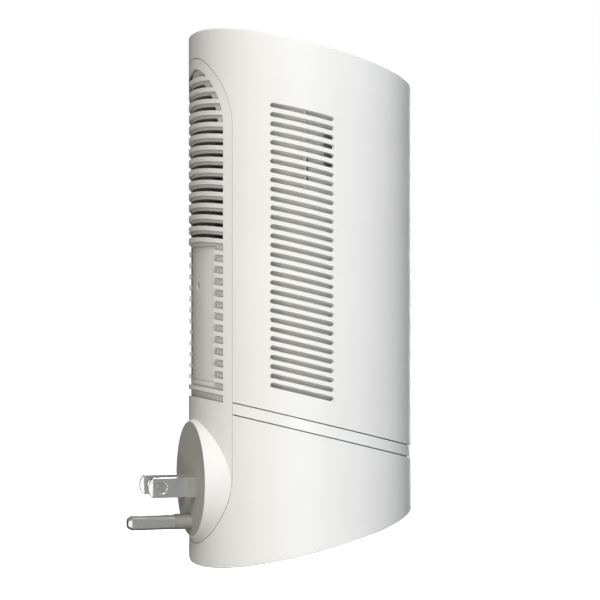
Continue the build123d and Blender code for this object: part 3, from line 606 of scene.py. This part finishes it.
powerBoardFace = 14.6    # in from the back, where the power parts stand on their board

transformerWinding = {"x": 11.5, "h": -58.0, "radius": 5.15, "wire": 0.34, "depth": 13.0, "sides": 8}


def makeWinding(values):
    bm = bmesh.new()
    foot = spot(values["x"], powerBoardFace, values["h"])
    wire = values["wire"]
    section = [(values["radius"] + wire * cos(a), wire + wire * sin(a))
               for a in [2 * pi * i / values["sides"] for i in range(values["sides"])]]
    turns = (values["depth"] - 2 * wire) / (2 * wire)
    wound(bm, section, foot, (0, -1, 0), 2 * wire, turns, steps=28)
    keepPiece("transformerWinding", bm, "winding")


capacitors = {
    "bulk_capacitor": {"piece": "bulkCapacitorCan", "x": -9.0, "h": -57.0,
                       "radius": 5.0, "length": 18.0},
    "output_capacitor": {"piece": "outputCapacitorCan", "x": 8.0, "h": -71.0,
                         "radius": 3.15, "length": 11.0},
}
# crimp holds heights up the sleeve and its depth; fold holds the lip's round, width and drop
sleeve = {"axisGap": 0.02, "foot": 0.3, "crimp": (1.4, 1.8, 2.2), "crimpDepth": 0.35,
          "fold": (0.5, 0.4, 0.9, 1.0, 0.2)}
score = {"width": 0.35, "deep": 0.16, "short": 1.2, "sink": 0.14, "turns": (0, 120, 240)}


def makeCapacitor(nodeName, values):
    # the sleeve is rolled over a crimp near the foot and folded a little way over the top
    r, length = values["radius"], values["length"]
    start, waist, end = sleeve["crimp"]
    drop, shoulder, lip, well, deep = sleeve["fold"]
    foot = spot(values["x"], powerBoardFace, values["h"])
    bm = bmesh.new()
    turned(bm, [(sleeve["axisGap"], 0), (r - sleeve["foot"], 0), (r, sleeve["foot"]), (r, start),
                (r - sleeve["crimpDepth"], waist), (r, end), (r, length - drop), (r - shoulder, length),
                (r - lip, length), (r - well, length - deep), (sleeve["axisGap"], length - deep)],
           foot, (0, -1, 0), steps=40)
    keepPiece(values["piece"], bm, "can_sleeve", nodeName)
    top = bmesh.new()
    arm = r - score["short"]
    for turn in score["turns"]:
        verts = box(top, foot, (score["width"], score["deep"], arm))
        bmesh.ops.translate(top, verts=verts, vec=(0, (-length + score["sink"]) * mm, arm / 2 * mm))
        bmesh.ops.rotate(top, verts=verts, cent=foot, matrix=Matrix.Rotation(radians(turn), 3, "Y"))
    keepPiece(values["piece"] + "Score", top, "can_top")


makeGroundPin(groundPin)
makeCoaxSocket(coaxSocket)
makeCoaxNut(coaxSocket)
makeContacts(jackContacts)
makeWinding(transformerWinding)
for nodeName, values in capacitors.items():
    makeCapacitor(nodeName, values)
print("turned, wound and bent pieces made")


# edge is the moulded or tumbled radius in millimetres
softEdges = {
    "neutral_blade": {"piece": "neutralBladeRounded", "slot": "blade_metal", "edge": 0.16, "sharp": 25},
    "line_blade": {"piece": "lineBladeRounded", "slot": "blade_metal", "edge": 0.16, "sharp": 25},
    "plug_insert": {"piece": "plugInsertRounded", "slot": "plug_grey", "edge": 0.12, "sharp": 40},
    "reset_button": {"piece": "resetKeyRounded", "slot": "button_white", "edge": 0.2, "sharp": 40},
    "pair_button": {"piece": "pairKeyRounded", "slot": "button_white", "edge": 0.3, "sharp": 40},
    "light_ring": {"piece": "lightRingRounded", "slot": "ring_diffuser", "edge": 0.08, "sharp": 40},
    "jack_shield": {"piece": "jackShieldRounded", "slot": "can_tin", "edge": 0.08, "sharp": 40},
    "ethernet_jack": {"piece": "ethernetJackRounded", "slot": "jack_black", "edge": 0.15, "sharp": 40},
}
bodyOf = {"reset_button": "reset_key", "pair_button": "pair_key"}


def roundedCopy(nodeName, values):
    source = nodes[nodeName]
    bm = bmesh.new()
    bm.from_mesh(source.data)
    bmesh.ops.remove_doubles(bm, verts=bm.verts, dist=0.002 * mm)
    bmesh.ops.dissolve_limit(bm, angle_limit=radians(0.5), verts=bm.verts, edges=bm.edges)
    corners = [edge for edge in bm.edges
               if edge.is_manifold and edge.calc_face_angle(0) > radians(values["sharp"])]
    bmesh.ops.bevel(bm, geom=corners, offset=values["edge"] * mm, offset_type="OFFSET", segments=2,
                    profile=0.5, affect="EDGES", material=-1, clamp_overlap=True)
    for face in bm.faces:
        face.smooth = True
    mesh = bpy.data.meshes.new(values["piece"])
    bm.to_mesh(mesh)
    bm.free()
    piece = bpy.data.objects.new(values["piece"], mesh)
    for place in source.material_slots:
        mesh.materials.append(place.material)
    even = piece.modifiers.new("even shading", "WEIGHTED_NORMAL")
    even.keep_sharp = True
    scene.collection.objects.link(piece)
    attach(piece, bodyOf.get(nodeName, "housing"))
    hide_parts(nodeName)


for nodeName, values in softEdges.items():
    roundedCopy(nodeName, values)
print("rounded the edges of", len(softEdges), "pieces")
